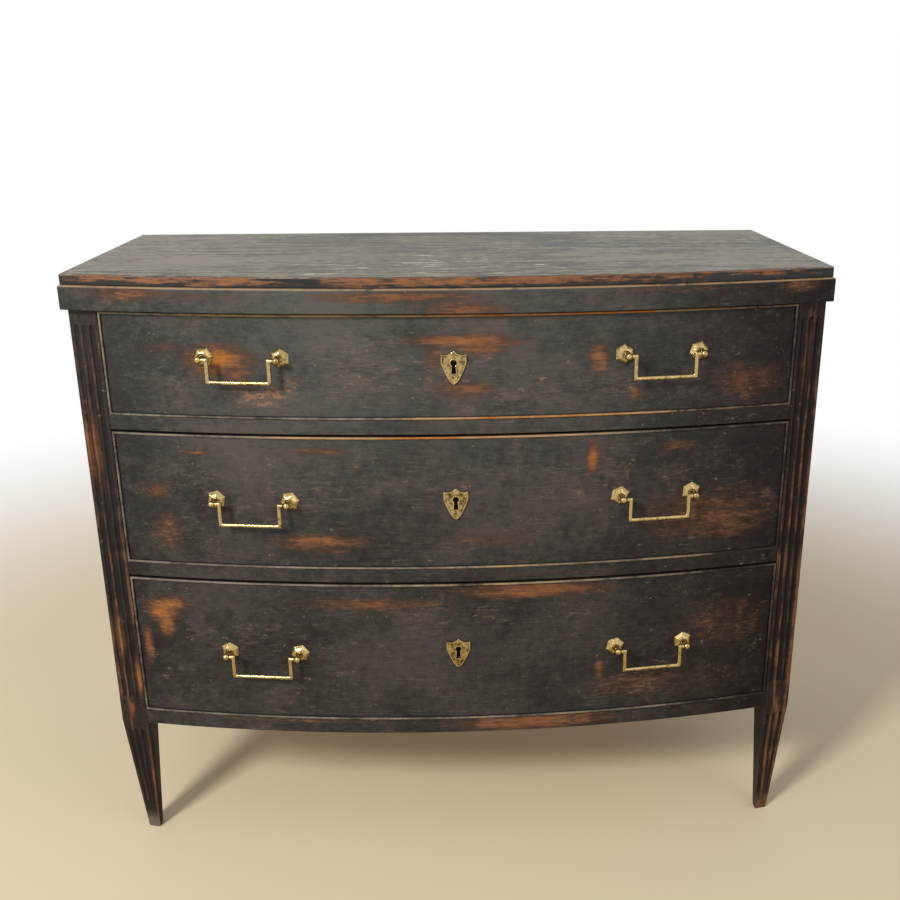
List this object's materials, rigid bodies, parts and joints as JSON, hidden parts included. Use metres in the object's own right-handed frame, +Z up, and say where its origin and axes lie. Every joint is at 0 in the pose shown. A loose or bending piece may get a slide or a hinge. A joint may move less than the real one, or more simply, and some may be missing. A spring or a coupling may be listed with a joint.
{
  "type": "commode chest",
  "caption": "Bow-front commode chest: long drawers with raised beads, bail handles and shield keyhole plates, fluted posts on tapered legs, worn dark paint.",
  "frame": {"origin": "on the floor, under the middle of the chest's box", "axes": "+Z up, +X along the width to the right seen from the front, -Y out of the drawer fronts"},
  "size_m": [1.062, 0.512, 0.8835],
  "materials": {
    "body_paint": "near-black paint, satin, rubbed through to brown wood at edges",
    "top_paint": "thin worn grey-olive paint with grain streaks and scuffs",
    "bead_wood": "paint rubbed off to tan wood, dark in the corners",
    "bare_wood": "unfinished aged softwood",
    "brass": "aged cast brass, pitted in the hollows and bright on the edges",
    "iron": "dark iron"
  },
  "bodies": {
    "carcass": {"top_board": "top_paint", "frieze_moulding": "body_paint", "front_post_left": "body_paint", "front_post_right": "body_paint", "rear_post_left": "body_paint", "rear_post_right": "body_paint", "side_panel_left": "body_paint", "side_panel_right": "body_paint", "back_panel": "bare_wood", "rail_upper": "body_paint", "rail_lower": "body_paint", "rail_bottom": "body_paint", "dust_board_upper": "bare_wood", "dust_board_lower": "bare_wood", "bottom_board": "bare_wood"},
    "upper_drawer": {"upper_drawer_front": "body_paint", "upper_cockbead": "bead_wood", "upper_drawer_side_left": "bare_wood", "upper_drawer_side_right": "bare_wood", "upper_drawer_back": "bare_wood", "upper_drawer_bottom": "bare_wood", "upper_escutcheon": "brass", "upper_lock_case": "iron", "upper_left_rosette_left": "brass", "upper_left_rosette_right": "brass", "upper_right_rosette_left": "brass", "upper_right_rosette_right": "brass"},
    "upper_left_bail": {"upper_left_bail": "brass"},
    "upper_right_bail": {"upper_right_bail": "brass"},
    "upper_lock_bolt": {"upper_lock_bolt": "iron"},
    "middle_drawer": {"middle_drawer_front": "body_paint", "middle_cockbead": "bead_wood", "middle_drawer_side_left": "bare_wood", "middle_drawer_side_right": "bare_wood", "middle_drawer_back": "bare_wood", "middle_drawer_bottom": "bare_wood", "middle_escutcheon": "brass", "middle_lock_case": "iron", "middle_left_rosette_left": "brass", "middle_left_rosette_right": "brass", "middle_right_rosette_left": "brass", "middle_right_rosette_right": "brass"},
    "middle_left_bail": {"middle_left_bail": "brass"},
    "middle_right_bail": {"middle_right_bail": "brass"},
    "middle_lock_bolt": {"middle_lock_bolt": "iron"},
    "lower_drawer": {"lower_drawer_front": "body_paint", "lower_cockbead": "bead_wood", "lower_drawer_side_left": "bare_wood", "lower_drawer_side_right": "bare_wood", "lower_drawer_back": "bare_wood", "lower_drawer_bottom": "bare_wood", "lower_escutcheon": "brass", "lower_lock_case": "iron", "lower_left_rosette_left": "brass", "lower_left_rosette_right": "brass", "lower_right_rosette_left": "brass", "lower_right_rosette_right": "brass"},
    "lower_left_bail": {"lower_left_bail": "brass"},
    "lower_right_bail": {"lower_right_bail": "brass"},
    "lower_lock_bolt": {"lower_lock_bolt": "iron"}
  },
  "joints": [
    {"name": "upper_drawer_slide", "type": "slide", "parent": "carcass", "child": "upper_drawer", "axis": [0, -1, 0], "range_m": [0, 0.36]},
    {"name": "upper_left_bail_swing", "type": "hinge", "parent": "upper_drawer", "child": "upper_left_bail", "pos_m": [-0.29027, -0.24276, 0.7737], "axis": [-0.9918, 0.1277, 0], "range_deg": [-31, 211]},
    {"name": "upper_right_bail_swing", "type": "hinge", "parent": "upper_drawer", "child": "upper_right_bail", "pos_m": [0.29027, -0.24276, 0.7737], "axis": [-0.9918, -0.1277, 0], "range_deg": [-31, 211]},
    {"name": "upper_lock_bolt_throw", "type": "slide", "parent": "upper_drawer", "child": "upper_lock_bolt", "axis": [0, 0, 1], "range_m": [0, 0.008]},
    {"name": "middle_drawer_slide", "type": "slide", "parent": "carcass", "child": "middle_drawer", "axis": [0, -1, 0], "range_m": [0, 0.36]},
    {"name": "middle_left_bail_swing", "type": "hinge", "parent": "middle_drawer", "child": "middle_left_bail", "pos_m": [-0.29027, -0.24276, 0.5674], "axis": [-0.9918, 0.1277, 0], "range_deg": [-31, 211]},
    {"name": "middle_right_bail_swing", "type": "hinge", "parent": "middle_drawer", "child": "middle_right_bail", "pos_m": [0.29027, -0.24276, 0.5674], "axis": [-0.9918, -0.1277, 0], "range_deg": [-31, 211]},
    {"name": "middle_lock_bolt_throw", "type": "slide", "parent": "middle_drawer", "child": "middle_lock_bolt", "axis": [0, 0, 1], "range_m": [0, 0.008]},
    {"name": "lower_drawer_slide", "type": "slide", "parent": "carcass", "child": "lower_drawer", "axis": [0, -1, 0], "range_m": [0, 0.36]},
    {"name": "lower_left_bail_swing", "type": "hinge", "parent": "lower_drawer", "child": "lower_left_bail", "pos_m": [-0.29027, -0.24276, 0.3271], "axis": [-0.9918, 0.1277, 0], "range_deg": [-31, 211]},
    {"name": "lower_right_bail_swing", "type": "hinge", "parent": "lower_drawer", "child": "lower_right_bail", "pos_m": [0.29027, -0.24276, 0.3271], "axis": [-0.9918, -0.1277, 0], "range_deg": [-31, 211]},
    {"name": "lower_lock_bolt_throw", "type": "slide", "parent": "lower_drawer", "child": "lower_lock_bolt", "axis": [0, 0, 1], "range_m": [0, 0.008]}
  ]
}
